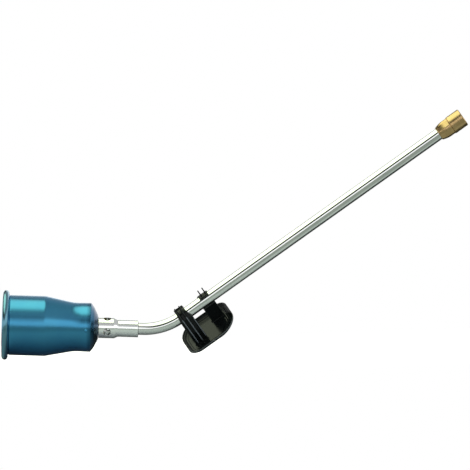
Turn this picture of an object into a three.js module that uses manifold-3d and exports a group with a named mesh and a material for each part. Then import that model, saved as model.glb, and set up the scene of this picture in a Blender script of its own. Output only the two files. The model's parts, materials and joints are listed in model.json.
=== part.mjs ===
// Propane roofing torch head: a titanium burner on a bent neck tube, with a brass union nut
// that screws it to a handle, and a clip-on stand that it is parked on.
//
// Millimetres, +Z up. The burner's rim and the lowest corner of the stand's dish touch the floor.
// The burner points along -X, and the bend of the neck lies in the XZ plane. The origin is at the
// centre of the bottom of the bounding box.
//
// Three nested frames carry the parts. Each has the tube or burner axis as its own X axis:
//   burner frame  origin at the middle of the burner's mouth, +X back towards the neck
//   neck frame    origin where the burner's axis meets the straight tube's axis, +X up the tube
//   stand frame   origin on the tube's axis at the middle of the stand, +Z away from its foot
import * as THREE from 'three';
import { mergeVertices } from 'three/addons/utils/BufferGeometryUtils.js';
import Module from 'manifold-3d';

const wasm = await Module();
wasm.setup();

const DEG = THREE.MathUtils.DEG2RAD;

// ---- attitude ----
const PARKED_LEAN = 3.72 * DEG; // the burner's axis slopes down this much from mouth to neck
const STAND_SWING = 35 * DEG; // the stand is turned this much round the tube from straight down

// ---- burner bell ----
const RIM_RADIUS = 35;
const RIM_BEAD_RADIUS = 3.1;
const BELL_RADIUS = 30;
const BELL_WALL = 1.2;
const BELL_SHOULDER_START = 43;
const BELL_SHOULDER_END = 70.5;
const BELL_REAR_RADIUS = 24.5;
const BELL_REAR_EDGE = 88.5;
const BELL_BACK = 96;
const BELL_HOLE_RADIUS = 7.9;

// ---- burner inside ----
const FLAME_HOLDER_FACE = 75;
const FLAME_HOLDER_RADIUS = BELL_REAR_RADIUS - BELL_WALL - 0.4;
const FLAME_HOLDER_WALL = 1.2;
const FLAME_HOLDER_SKIRT_END = 87;
const CENTRE_PORT_RADIUS = 6;
const MAIN_PORT_RADIUS = 2.1;
const MAIN_PORT_CIRCLE = 17;
const MAIN_PORTS = 12;
const PILOT_PORT_RADIUS = 1.3;
const PILOT_PORT_CIRCLE = 10.5;
const PILOT_PORTS = 8;
const MIXING_TUBE_RADIUS = 7.5;
const MIXING_TUBE_BORE = 6.2;
const MIXING_TUBE_START = 82;
const MIXING_TUBE_END = 101;
const CLAMP_COLLAR_RADIUS = 10.8;
const RIVET_STATION = 84;
const RIVET_SHANK_RADIUS = 1;
const RIVET_HOLE_RADIUS = 1.3;
const RIVET_HEAD_RADIUS = 1.7;
const RIVET_CUT = [18, 30]; // inner and outer reach of the cutter for a rivet's hole
const RIVET_TURN = 8 * DEG; // the first rivet sits this far below the burner's side
const RIVETS = 3;

// ---- socket and injector ----
const SOCKET_RADIUS = 10.25;
const SOCKET_START = 96.3;
const SOCKET_STEP_START = 112;
const SOCKET_STEP_END = 115.5;
const SOCKET_END_RADIUS = 8.5;
const SOCKET_END = 136;
const SOCKET_FRONT_BORE = 7.7;
const SOCKET_THREAD_BORE = 6.9;
const AIR_HOLE_RADIUS = 3.8;
const AIR_HOLE_STATION = 105;
const AIR_HOLE_TURN = 24 * DEG; // the first hole sits this far below the burner's side
const AIR_HOLE_CUT = [3, 14]; // inner and outer reach of the cutter for an air hole
const AIR_HOLES = 4;
const JET_TIP = 103.4;
const JET_HEAD_RADIUS = 3.4;
const JET_SHANK_RADIUS = 1.6;
const WASHER_BORE = 2;
const WASHER_RADIUS = 3.2;
const INJECTOR_START = 109;
const INJECTOR_END = 124.8;
const INJECTOR_RADIUS = 6.7;
const FILTER_BORE = 3;
const FILTER_LENGTH = 5.9;
const SEAL_BORE = 3.6;
const SEAL_RADIUS = 6.4;

// ---- neck tube ----
const TUBE_RADIUS = 6;
const TUBE_BORE = 5;
const BEND_ANGLE = 37.1 * DEG;
const BEND_RADIUS = 62;
const AXES_MEET = 161.5; // burner frame, where the two axes cross
const TUBE_START = 128.5; // burner frame
const TUBE_END = 350; // neck frame
const BEND_STEPS = 12;
const BRAZE_GAP = 0.15;

// ---- nipple and union nut, in the neck frame ----
const NUT_REAR = 337.5;
const NUT_TAPER_END = 347;
const NUT_STEP = 351.8;
const NUT_FACE = 367;
const NUT_RADIUS = 9.45;
const NUT_REAR_RADIUS = 7.25;
const NUT_FLATS = 17.8; // across flats
const NUT_SLIP_BORE = 6.3;
const NUT_THREAD_BORE = 7.5;
const NIPPLE_RADIUS = 7.1;
const NIPPLE_REAR = 344.8;
const NIPPLE_SHOULDER = 352;
const NIPPLE_NOSE_RADIUS = 6.2;
const NIPPLE_TIP = 360;
const GROOVE_MIDDLE = 355.3;
const GROOVE_WIDTH = 2.2;
const GROOVE_RADIUS = 4.9;

// ---- stand ----
const STAND_STATION = 37.9; // neck frame, middle of the stand
const DISH_LENGTH = 57;
const DISH_WIDTH = 49;
const DISH_OFFSET = -1; // the dish's middle, along the tube from the stand's middle
const DISH_RIM = 28.6; // below the tube's axis
const DISH_DEPTH = 6.5;
const DISH_WALL = 1.8;
const DISH_LIP = 1.4;
const SHARP_CORNER = 10;
const SOFT_CORNER = 22;
const KEEL_REACH = 0.54; // where the underside meets the rim plane, as a share of the dish's size
const KEEL_SWELL = 1.1; // above 1 the foot is flat
const ARM_FOOT = -DISH_RIM - DISH_DEPTH + DISH_WALL - 0.6;
const HOOK_BORE = 6.4;
const HOOK_WALL = 1.4;
const HOOK_END = 57 * DEG; // the hook's end, counted from the tube's far side
const HOOK_LIP = 10.2;
const ARM_START = 6.2; // along the tube from the stand's middle
const ARM_LENGTH = 14.2;
const ARM_INNER = 7.3;
const ARM_OUTER = 9.4;
const RIB_OUTER = 12;
const RIB_THICKNESS = 1.4;
const RIB_STATIONS = [11.8, 16.6];
const FIN_TIP = 13.8;
const EDGE_RIB_OUTER = 11;
const SADDLE_HALF_WIDTH = 4;
const SADDLE_TOP = -1.5;
const SADDLE_RADIUS = 7.6;

const ROUND = 40; // sides of a turned part
const SMALL_ROUND = 20;

const materials = {
  titanium: { color: 0x2f6f93, metalness: 0.9, roughness: 0.35 },
  steel: { color: 0x9a9b99, metalness: 0.9, roughness: 0.4 },
  nickel: { color: 0xd3d6d6, metalness: 1, roughness: 0.2 },
  stainless: { color: 0xc4c8c9, metalness: 1, roughness: 0.15 },
  brass: { color: 0xc39a4e, metalness: 0.9, roughness: 0.3 },
  bronze: { color: 0xa0703e, metalness: 0.7, roughness: 0.7 },
  copper: { color: 0xb87350, metalness: 0.9, roughness: 0.4 },
  rubber: { color: 0x151515, metalness: 0, roughness: 0.85 },
  plastic: { color: 0x111415, metalness: 0, roughness: 0.25 },
};

// ---- helpers ----

function part(name, geometry, finish) {
  const mesh = new THREE.Mesh(geometry, new THREE.MeshStandardMaterial(materials[finish]));
  mesh.name = name;
  return mesh;
}

// Solid of revolution about the X axis. The profile is a list of [x, radius].
function turned(profile, sides = ROUND) {
  const points = profile.map(([x, radius]) => new THREE.Vector2(radius, x));
  return new THREE.LatheGeometry(points, sides).rotateZ(-Math.PI / 2);
}

// Ring with a rectangular section about the X axis.
function ring(start, end, bore, radius, sides = ROUND) {
  return turned(
    [
      [start, bore],
      [start, radius],
      [end, radius],
      [end, bore],
      [start, bore],
    ],
    sides,
  );
}

// Cylinder along the X axis.
function rod(start, end, radius, sides = ROUND) {
  return turned(
    [
      [start, 0],
      [start, radius],
      [end, radius],
      [end, 0],
    ],
    sides,
  );
}

// Cylinder that stands radially off the X axis, turned about it.
function radialRod(station, inner, outer, radius, turn) {
  return new THREE.CylinderGeometry(radius, radius, outer - inner, SMALL_ROUND)
    .translate(0, (inner + outer) / 2, 0)
    .rotateX(turn)
    .translate(station, 0, 0);
}

function box(low, high) {
  const size = high.map((value, axis) => value - low[axis]);
  const centre = high.map((value, axis) => (value + low[axis]) / 2);
  return new THREE.BoxGeometry(...size).translate(...centre);
}

function solid(geometry) {
  const bare = new THREE.BufferGeometry();
  bare.setAttribute('position', geometry.getAttribute('position'));
  bare.setIndex(geometry.getIndex());
  const merged = mergeVertices(bare, 1e-4);
  const mesh = new wasm.Mesh({
    numProp: 3,
    vertProperties: merged.getAttribute('position').array,
    triVerts: new Uint32Array(merged.getIndex().array),
  });
  return new wasm.Manifold(mesh);
}

function geometryOf(manifold) {
  const mesh = manifold.getMesh();
  const geometry = new THREE.BufferGeometry();
  geometry.setAttribute('position', new THREE.BufferAttribute(mesh.vertProperties, 3));
  geometry.setIndex(new THREE.BufferAttribute(mesh.triVerts, 1));
  geometry.computeVertexNormals();
  return geometry;
}

const cut = (body, ...tools) => tools.reduce((left, tool) => left.subtract(solid(tool)), body);
const join = (...geometries) => geometries.map(solid).reduce((whole, next) => whole.add(next));

// Points of an arc in [x, radius] form, from one angle to another.
function arc(centreX, centreRadius, radius, from, to, steps) {
  return Array.from({ length: steps + 1 }, (_, i) => {
    const angle = from + ((to - from) * i) / steps;
    return [centreX + radius * Math.cos(angle), centreRadius + radius * Math.sin(angle)];
  });
}

// Points of a smooth shoulder in [x, radius] form.
function shoulder(startX, startRadius, endX, endRadius, steps) {
  return Array.from({ length: steps + 1 }, (_, i) => {
    const share = i / steps;
    const blend = (1 - Math.cos(Math.PI * share)) / 2;
    return [startX + (endX - startX) * share, startRadius + (endRadius - startRadius) * blend];
  });
}

const evenTurns = (count, first) => {
  return Array.from({ length: count }, (_, i) => first + (i * 2 * Math.PI) / count);
};

// A turn that is measured from the side that faces -Y, positive downwards.
const belowTheSide = (angle) => -Math.PI / 2 - angle;

// ---- burner ----

// The bell's back closes in a convex curve from its rear edge to the hole for the mixing tube.
function bellBack(offset) {
  return [
    [BELL_REAR_EDGE - offset * 0.6, BELL_REAR_RADIUS - offset],
    [BELL_REAR_EDGE + 3.2 - offset, BELL_REAR_RADIUS - 4.5 - offset * 0.7],
    [BELL_REAR_EDGE + 5.8 - offset, BELL_REAR_RADIUS - 10 - offset * 0.4],
    [BELL_BACK - offset, BELL_REAR_RADIUS - 13.7],
    [BELL_BACK - offset, BELL_HOLE_RADIUS],
  ];
}

function burnerCup() {
  const bore = BELL_RADIUS - BELL_WALL;
  const rearBore = BELL_REAR_RADIUS - BELL_WALL;
  const beadCentre = RIM_RADIUS - RIM_BEAD_RADIUS;
  const crease = Math.asin((BELL_RADIUS - beadCentre) / RIM_BEAD_RADIUS);
  const profile = [
    ...bellBack(BELL_WALL).reverse(),
    [BELL_SHOULDER_END, rearBore],
    [BELL_SHOULDER_START, bore],
    ...arc(RIM_BEAD_RADIUS, beadCentre, RIM_BEAD_RADIUS, -Math.PI / 2, crease - 2 * Math.PI, 11),
    [BELL_SHOULDER_START, BELL_RADIUS],
    [BELL_SHOULDER_END, BELL_REAR_RADIUS],
    ...bellBack(0),
  ];
  profile.push(profile[0]);
  const holes = evenTurns(RIVETS, belowTheSide(RIVET_TURN)).map((turn) =>
    radialRod(RIVET_STATION, ...RIVET_CUT, RIVET_HOLE_RADIUS, turn),
  );
  return geometryOf(cut(solid(turned(profile)), ...holes));
}

function flameHolder() {
  const back = FLAME_HOLDER_FACE + FLAME_HOLDER_WALL;
  const bore = FLAME_HOLDER_RADIUS - FLAME_HOLDER_WALL;
  const shell = turned([
    [FLAME_HOLDER_FACE, CENTRE_PORT_RADIUS],
    [FLAME_HOLDER_FACE, FLAME_HOLDER_RADIUS - 1],
    [FLAME_HOLDER_FACE + 1, FLAME_HOLDER_RADIUS],
    [FLAME_HOLDER_SKIRT_END, FLAME_HOLDER_RADIUS],
    [FLAME_HOLDER_SKIRT_END, bore],
    [back, bore],
    [back, CENTRE_PORT_RADIUS],
    [FLAME_HOLDER_FACE, CENTRE_PORT_RADIUS],
  ]);
  const port = (radius, circle) => (turn) =>
    rod(FLAME_HOLDER_FACE - 2, back + 2, radius, 10)
      .translate(0, circle * Math.cos(turn), circle * Math.sin(turn));
  const rivetHoles = evenTurns(RIVETS, belowTheSide(RIVET_TURN)).map((turn) =>
    radialRod(RIVET_STATION, ...RIVET_CUT, RIVET_HOLE_RADIUS, turn),
  );
  return geometryOf(
    cut(
      solid(shell),
      ...evenTurns(MAIN_PORTS, 0).map(port(MAIN_PORT_RADIUS, MAIN_PORT_CIRCLE)),
      ...evenTurns(PILOT_PORTS, 0).map(port(PILOT_PORT_RADIUS, PILOT_PORT_CIRCLE)),
      ...rivetHoles,
    ),
  );
}

function mixingTube() {
  const collarBack = BELL_BACK - BELL_WALL - 0.3;
  const collarFront = collarBack - 1.6;
  return turned([
    [MIXING_TUBE_START, MIXING_TUBE_BORE + 0.6],
    [MIXING_TUBE_START, MIXING_TUBE_RADIUS],
    [collarFront, MIXING_TUBE_RADIUS],
    [collarFront, CLAMP_COLLAR_RADIUS],
    [collarBack, CLAMP_COLLAR_RADIUS],
    [collarBack, MIXING_TUBE_RADIUS],
    [MIXING_TUBE_END, MIXING_TUBE_RADIUS],
    [MIXING_TUBE_END, MIXING_TUBE_BORE],
    [MIXING_TUBE_START + 3, MIXING_TUBE_BORE],
    [MIXING_TUBE_START, MIXING_TUBE_BORE + 0.6],
  ]);
}

// A blind rivet: a low head on the bell, a shank through bell and flame holder, an upset tail.
function rivet() {
  const tail = FLAME_HOLDER_RADIUS - FLAME_HOLDER_WALL - 0.4;
  const seat = BELL_REAR_RADIUS + 0.15;
  const profile = [
    [tail - 0.8, 0],
    [tail - 0.8, RIVET_SHANK_RADIUS + 0.3],
    [tail, RIVET_SHANK_RADIUS + 0.5],
    [tail, RIVET_SHANK_RADIUS],
    [seat, RIVET_SHANK_RADIUS],
    [seat, RIVET_HEAD_RADIUS],
    [seat + 0.35, RIVET_HEAD_RADIUS * 0.85],
    [seat + 0.6, RIVET_HEAD_RADIUS * 0.45],
    [seat + 0.65, 0],
  ];
  return turned(profile, SMALL_ROUND).rotateZ(Math.PI / 2);
}

function rivets() {
  return evenTurns(RIVETS, belowTheSide(RIVET_TURN)).map((turn, i) => {
    const geometry = rivet().rotateX(turn).translate(RIVET_STATION, 0, 0);
    return part(`cup_rivet_${i + 1}`, geometry, 'titanium');
  });
}

// ---- socket and injector ----

function burnerSocket() {
  const body = turned([
    [SOCKET_START, SOCKET_FRONT_BORE],
    [SOCKET_START, SOCKET_RADIUS],
    [SOCKET_STEP_START, SOCKET_RADIUS],
    [SOCKET_STEP_END, SOCKET_END_RADIUS],
    [SOCKET_END - 0.4, SOCKET_END_RADIUS],
    [SOCKET_END, SOCKET_END_RADIUS - 0.4],
    [SOCKET_END, SOCKET_THREAD_BORE],
    [SOCKET_STEP_START, SOCKET_THREAD_BORE],
    [SOCKET_STEP_START, SOCKET_FRONT_BORE],
    [SOCKET_START, SOCKET_FRONT_BORE],
  ]);
  const holes = evenTurns(AIR_HOLES, belowTheSide(AIR_HOLE_TURN)).map((turn) =>
    radialRod(AIR_HOLE_STATION, ...AIR_HOLE_CUT, AIR_HOLE_RADIUS, turn),
  );
  return geometryOf(cut(solid(body), ...holes));
}

function injectorBody() {
  const nose = 4.6;
  const threadRadius = 1.8;
  const passage = 1.4;
  return turned([
    [INJECTOR_START, threadRadius],
    [INJECTOR_START, nose],
    [INJECTOR_START + 4, nose],
    [INJECTOR_START + 4, INJECTOR_RADIUS],
    [INJECTOR_END, INJECTOR_RADIUS],
    [INJECTOR_END, FILTER_BORE],
    [INJECTOR_END - 8.2, FILTER_BORE],
    [INJECTOR_END - 8.2, passage],
    [INJECTOR_START + 3.5, passage],
    [INJECTOR_START + 3.5, threadRadius],
    [INJECTOR_START, threadRadius],
  ]);
}

function injectorJet() {
  const orifice = 0.5;
  const nose = 1.4;
  const head = INJECTOR_START - 0.9;
  return turned(
    [
      [JET_TIP, orifice],
      [JET_TIP, nose],
      [JET_TIP + 1.4, JET_HEAD_RADIUS],
      [head, JET_HEAD_RADIUS],
      [head, JET_SHANK_RADIUS],
      [INJECTOR_START + 3.2, JET_SHANK_RADIUS],
      [INJECTOR_START + 3.2, orifice],
      [JET_TIP, orifice],
    ],
    SMALL_ROUND,
  );
}

function jetWasher() {
  return ring(INJECTOR_START - 0.7, INJECTOR_START - 0.2, WASHER_BORE, WASHER_RADIUS, SMALL_ROUND);
}

function injectorFilter() {
  const end = INJECTOR_END - 2;
  return rod(end - FILTER_LENGTH, end, FILTER_BORE - 0.2, SMALL_ROUND);
}

function filterRetainer() {
  const bore = FILTER_BORE / 2;
  return ring(INJECTOR_END - 1.7, INJECTOR_END - 0.4, bore, FILTER_BORE - 0.15, SMALL_ROUND);
}

function socketSeal() {
  return ring(INJECTOR_END + 0.3, INJECTOR_END + 1, SEAL_BORE, SEAL_RADIUS);
}

// ---- neck ----

// Runs from inside the socket, round the bend and up to the nipple. The parameter is spread so
// that each straight is one step and the bend is BEND_STEPS of them.
class NeckPath extends THREE.Curve {
  constructor() {
    super();
    this.steps = BEND_STEPS + 2;
    this.tangentLength = BEND_RADIUS * Math.tan(BEND_ANGLE / 2);
    this.bendStart = AXES_MEET - this.tangentLength;
  }

  getPoint(t, target = new THREE.Vector3()) {
    const step = t * this.steps;
    if (step <= 1) {
      return target.set(TUBE_START + (this.bendStart - TUBE_START) * step, 0, 0);
    }
    if (step <= this.steps - 1) {
      const angle = (BEND_ANGLE * (step - 1)) / BEND_STEPS;
      const rise = BEND_RADIUS * (1 - Math.cos(angle));
      return target.set(this.bendStart + BEND_RADIUS * Math.sin(angle), 0, rise);
    }
    const share = step - this.steps + 1;
    const along = this.tangentLength + (TUBE_END - this.tangentLength) * share;
    return target.set(AXES_MEET + along * Math.cos(BEND_ANGLE), 0, along * Math.sin(BEND_ANGLE));
  }

  getUtoTmapping(u) {
    return u;
  }
}

function neckTube() {
  const section = new THREE.Shape().absarc(0, 0, TUBE_RADIUS, 0, 2 * Math.PI, false);
  section.holes.push(new THREE.Path().absarc(0, 0, TUBE_BORE, 0, 2 * Math.PI, true));
  const path = new NeckPath();
  const options = { steps: path.steps, curveSegments: 16, bevelEnabled: false, extrudePath: path };
  return geometryOf(solid(new THREE.ExtrudeGeometry(section, options)));
}

function neckEndFitting() {
  const front = INJECTOR_END + 1.3;
  const radius = SOCKET_THREAD_BORE - 0.2;
  const lip = 4;
  return turned([
    [front, lip],
    [front, radius],
    [SOCKET_END + 0.3, radius],
    [SOCKET_END + 0.3, TUBE_RADIUS + BRAZE_GAP],
    [TUBE_START - 0.3, TUBE_RADIUS + BRAZE_GAP],
    [TUBE_START - 0.3, lip],
    [front, lip],
  ]);
}

function tubeNipple() {
  const nose = NIPPLE_NOSE_RADIUS;
  const bore = 3.6;
  const inner = TUBE_RADIUS + BRAZE_GAP;
  const grooveStart = GROOVE_MIDDLE - GROOVE_WIDTH / 2;
  const grooveEnd = GROOVE_MIDDLE + GROOVE_WIDTH / 2;
  return turned([
    [NIPPLE_REAR, inner],
    [NIPPLE_REAR, NIPPLE_RADIUS],
    [NIPPLE_SHOULDER, NIPPLE_RADIUS],
    [NIPPLE_SHOULDER + 1, nose],
    [grooveStart, nose],
    [grooveStart, GROOVE_RADIUS],
    [grooveEnd, GROOVE_RADIUS],
    [grooveEnd, nose],
    [NIPPLE_TIP - 2.6, nose],
    [NIPPLE_TIP, nose - 1.6],
    [NIPPLE_TIP, bore],
    [TUBE_END + 0.3, bore],
    [TUBE_END + 0.3, inner],
    [NIPPLE_REAR, inner],
  ]);
}

function nippleRing() {
  const section = 0.85;
  const middle = GROOVE_RADIUS + section + 0.15;
  return turned(arc(GROOVE_MIDDLE, middle, section, 2 * Math.PI, 0, 8));
}

function slipRing() {
  return ring(NUT_REAR + 3.9, NIPPLE_REAR - 0.3, NUT_SLIP_BORE, NIPPLE_RADIUS);
}

// A round blank with a tapered back, cut by six flats up to the step, bored for tube and thread.
function unionNut() {
  const thread = NUT_REAR + 3.6;
  const edge = 0.5;
  const blank = turned([
    [NUT_REAR, NUT_SLIP_BORE],
    [NUT_REAR, NUT_REAR_RADIUS],
    ...shoulder(NUT_REAR + 0.4, NUT_REAR_RADIUS + 0.3, NUT_TAPER_END, NUT_RADIUS - 0.1, 5),
    [NUT_STEP, NUT_RADIUS - 0.1],
    [NUT_STEP, NUT_RADIUS - edge],
    [NUT_STEP + edge, NUT_RADIUS],
    [NUT_FACE - edge, NUT_RADIUS],
    [NUT_FACE, NUT_RADIUS - edge],
    [NUT_FACE, NUT_THREAD_BORE + edge],
    [NUT_FACE - 0.8, NUT_THREAD_BORE],
    [thread, NUT_THREAD_BORE],
    [thread, NUT_SLIP_BORE],
    [NUT_REAR, NUT_SLIP_BORE],
  ]);
  const apothem = NUT_FLATS / 2;
  const flats = evenTurns(6, belowTheSide(30 * DEG)).map((turn) =>
    box([NUT_REAR - 1, apothem, -NUT_RADIUS], [NUT_STEP, 2 * apothem, NUT_RADIUS]).rotateX(turn),
  );
  return geometryOf(cut(solid(blank), ...flats));
}

// ---- stand, in the stand frame ----

// Rounded rectangle whose opposite corners match, shrunk by an inset.
function dishOutline(inset) {
  const x = DISH_LENGTH / 2 - inset;
  const y = DISH_WIDTH / 2 - inset;
  const soft = SOFT_CORNER - inset;
  const sharp = SHARP_CORNER - inset;
  return new THREE.Shape()
    .moveTo(-x + sharp, -y)
    .lineTo(x - soft, -y)
    .absarc(x - soft, -y + soft, soft, -Math.PI / 2, 0, false)
    .lineTo(x, y - sharp)
    .absarc(x - sharp, y - sharp, sharp, 0, Math.PI / 2, false)
    .lineTo(-x + soft, y)
    .absarc(-x + soft, y - soft, soft, Math.PI / 2, Math.PI, false)
    .lineTo(-x, -y + sharp)
    .absarc(-x + sharp, -y + sharp, sharp, Math.PI, 1.5 * Math.PI, false);
}

// How far the dish's underside lies below its rim plane: a flat foot that curves up to the rim.
function keel(x, y) {
  const edge = (x / (DISH_LENGTH * KEEL_REACH)) ** 4 + (y / (DISH_WIDTH * KEEL_REACH)) ** 4;
  return Math.min(DISH_DEPTH, Math.max(DISH_LIP, KEEL_SWELL * DISH_DEPTH * (1 - edge)));
}

// The space under a lid at z = top, down to the keel less a wall, inside the outline.
function boat(inset, wall, top) {
  const block = new THREE.BoxGeometry(DISH_LENGTH + 2, DISH_WIDTH + 2, 2, 14, 12, 1);
  const position = block.getAttribute('position');
  for (let i = 0; i < position.count; i += 1) {
    const depth = keel(position.getX(i), position.getY(i)) - wall;
    const bottom = depth > 0 ? -depth : top / 2;
    position.setZ(i, position.getZ(i) > 0 ? top : bottom);
  }
  const options = { depth: 30, bevelEnabled: false, curveSegments: 5 };
  const prism = new THREE.ExtrudeGeometry(dishOutline(inset), options).translate(0, 0, -15);
  return solid(block).intersect(solid(prism)).translate(DISH_OFFSET, 0, -DISH_RIM);
}

function dish() {
  return boat(0, 0, 0).subtract(boat(DISH_WALL, DISH_WALL, 1));
}

// Extrudes an outline in the YZ plane along X.
function slab(outline, start, thickness) {
  const options = { depth: thickness, bevelEnabled: false, curveSegments: 6 };
  const basis = new THREE.Matrix4().makeBasis(
    new THREE.Vector3(0, 1, 0),
    new THREE.Vector3(0, 0, 1),
    new THREE.Vector3(1, 0, 0),
  );
  return new THREE.ExtrudeGeometry(outline, options).applyMatrix4(basis).translate(start, 0, 0);
}

// One arm: up from the dish beside the tube, over its top, with a lip that flares outwards.
function armOutline() {
  const outer = HOOK_BORE + HOOK_WALL;
  const polar = (radius, angle) => [radius * Math.cos(angle), radius * Math.sin(angle)];
  return new THREE.Shape()
    .moveTo(-ARM_INNER, ARM_FOOT)
    .lineTo(-ARM_INNER, -4)
    .lineTo(-HOOK_BORE, 0)
    .absarc(0, 0, HOOK_BORE, Math.PI, HOOK_END, true)
    .lineTo(...polar(HOOK_LIP, HOOK_END - 0.1))
    .lineTo(...polar(HOOK_LIP, HOOK_END + 0.08))
    .lineTo(...polar(outer, HOOK_END + 0.25))
    .absarc(0, 0, outer, HOOK_END + 0.33, 0.75 * Math.PI, false)
    .lineTo(-ARM_OUTER, 1)
    .lineTo(-ARM_OUTER, ARM_FOOT);
}

// One rib: a fin on the arm's outside that runs on over the hook and ends in a tip.
function ribOutline() {
  return new THREE.Shape()
    .moveTo(-ARM_OUTER + 0.5, ARM_FOOT)
    .lineTo(-ARM_OUTER + 0.5, 1)
    .lineTo(-5, 5.6)
    .lineTo(0.6, 7)
    .lineTo(0.2, 12.6)
    .lineTo(-1.2, FIN_TIP)
    .lineTo(-2.6, 13)
    .lineTo(-6.5, 10)
    .lineTo(-10.2, 6)
    .lineTo(-RIB_OUTER, 0)
    .lineTo(-RIB_OUTER, ARM_FOOT);
}

// A lower rib along the arm's inner edge that stops beside the tube.
function edgeRibOutline() {
  return new THREE.Shape()
    .moveTo(-ARM_OUTER + 0.5, ARM_FOOT)
    .lineTo(-ARM_OUTER + 0.5, 0.5)
    .lineTo(-ARM_OUTER, 0.5)
    .lineTo(-EDGE_RIB_OUTER, -2.5)
    .lineTo(-EDGE_RIB_OUTER, ARM_FOOT);
}

// A thin cradle under the tube, round from the arm to just past the tube's middle.
function saddle(end) {
  const quarter = box(
    [end, -ARM_OUTER, -ARM_OUTER],
    [-ARM_START, SADDLE_HALF_WIDTH, SADDLE_TOP],
  );
  return solid(quarter).intersect(solid(rod(end - 1, 0, SADDLE_RADIUS)));
}

function arm() {
  const end = -ARM_START - ARM_LENGTH;
  const ribs = RIB_STATIONS.map((station) =>
    slab(ribOutline(), -station - RIB_THICKNESS / 2, RIB_THICKNESS),
  );
  const edgeRib = slab(edgeRibOutline(), -ARM_START - RIB_THICKNESS, RIB_THICKNESS);
  const upright = slab(armOutline(), end, ARM_LENGTH);
  return join(upright, ...ribs, edgeRib).add(saddle(end));
}

function stand() {
  const whole = dish()
    .add(arm())
    .add(arm().rotate([0, 0, 180]));
  const tubeWay = rod(-DISH_LENGTH, DISH_LENGTH, HOOK_BORE);
  return geometryOf(cut(whole, tubeWay));
}

// ---- assembly ----

function burnerParts() {
  return [
    part('burner_cup', burnerCup(), 'titanium'),
    part('flame_holder', flameHolder(), 'steel'),
    part('mixing_tube', mixingTube(), 'steel'),
    ...rivets(),
    part('burner_socket', burnerSocket(), 'nickel'),
    part('injector_body', injectorBody(), 'brass'),
    part('injector_jet', injectorJet(), 'nickel'),
    part('jet_washer', jetWasher(), 'copper'),
    part('injector_filter', injectorFilter(), 'bronze'),
    part('filter_retainer', filterRetainer(), 'steel'),
    part('socket_seal', socketSeal(), 'copper'),
    part('neck_end_fitting', neckEndFitting(), 'steel'),
    part('neck_tube', neckTube(), 'stainless'),
  ];
}

function nutParts() {
  return [
    part('tube_nipple', tubeNipple(), 'brass'),
    part('nipple_o_ring', nippleRing(), 'rubber'),
    part('slip_ring', slipRing(), 'steel'),
    part('union_nut', unionNut(), 'brass'),
  ];
}

const standFrame = new THREE.Group();
standFrame.name = 'stand_frame';
standFrame.position.x = STAND_STATION;
standFrame.rotation.x = STAND_SWING;
standFrame.add(part('stand', stand(), 'plastic'));

const neckFrame = new THREE.Group();
neckFrame.name = 'neck_frame';
neckFrame.position.x = AXES_MEET;
neckFrame.rotation.y = -BEND_ANGLE;
neckFrame.add(...nutParts(), standFrame);

const burnerFrame = new THREE.Group();
burnerFrame.name = 'burner_frame';
burnerFrame.rotation.y = PARKED_LEAN;
burnerFrame.add(...burnerParts(), neckFrame);

// The bounding box's bottom centre goes to the origin.
const bounds = new THREE.Box3().setFromObject(burnerFrame, true);
const middle = bounds.getCenter(new THREE.Vector3());
burnerFrame.position.set(-middle.x, -middle.y, -bounds.min.z);

const torch = new THREE.Group();
torch.add(burnerFrame);

export default torch;
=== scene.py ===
"""Looks of the roofing torch head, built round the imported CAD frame.

Shapes are drawn in millimetres in one of three local frames, each with the tube's or the burner's
axis as its own X axis, and their vertices are stored in metres:
    BURNER  origin at the middle of the burner's mouth, +X back towards the neck
    NECK    origin where the burner's axis meets the straight tube's axis, +X up the tube
    STAND   origin on the tube's axis at the middle of the stand, +Z away from its foot
"""

import json
import math

import bmesh
import bpy
import numpy as np
from mathutils import Matrix, Vector


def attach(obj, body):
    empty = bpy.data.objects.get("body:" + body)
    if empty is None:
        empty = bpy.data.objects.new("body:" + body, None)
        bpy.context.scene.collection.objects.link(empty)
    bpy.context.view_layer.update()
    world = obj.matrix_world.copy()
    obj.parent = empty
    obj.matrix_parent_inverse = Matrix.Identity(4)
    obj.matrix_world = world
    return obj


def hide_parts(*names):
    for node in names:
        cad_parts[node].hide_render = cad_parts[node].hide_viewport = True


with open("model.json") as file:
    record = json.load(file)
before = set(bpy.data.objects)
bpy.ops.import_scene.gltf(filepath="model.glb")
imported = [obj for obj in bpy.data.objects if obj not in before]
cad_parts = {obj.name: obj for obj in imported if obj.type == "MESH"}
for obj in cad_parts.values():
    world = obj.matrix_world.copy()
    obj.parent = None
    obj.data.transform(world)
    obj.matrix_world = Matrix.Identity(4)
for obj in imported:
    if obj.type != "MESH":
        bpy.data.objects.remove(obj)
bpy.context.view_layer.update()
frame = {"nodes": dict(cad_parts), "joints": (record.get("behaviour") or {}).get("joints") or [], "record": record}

MM = 0.001
JOINTS = {joint["name"]: joint for joint in frame["joints"]}
MOUNTS = {mount["name"]: mount for mount in frame["record"]["mounts"]}


# ---- local frames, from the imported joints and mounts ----

def local_frame(origin, x_axis, z_axis=None):
    """A frame at origin with that X axis. Its Y axis is the row's, unless a Z axis is given."""
    x = Vector(x_axis).normalized()
    y = Vector(z_axis).cross(x).normalized() if z_axis else Vector((0, 1, 0))
    z = x.cross(y)
    rotation = Matrix((x, y, z)).transposed().to_4x4()
    return Matrix.Translation(origin) @ rotation


def reach(node, place):
    """Lowest x, highest x and largest radius of a CAD node in a local frame, in millimetres."""
    inverse = place.inverted()
    points = np.array([inverse @ v.co for v in frame["nodes"][node].data.vertices]) / MM
    radius = np.hypot(points[:, 1], points[:, 2]).max()
    return float(points[:, 0].min()), float(points[:, 0].max()), float(radius)


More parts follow.
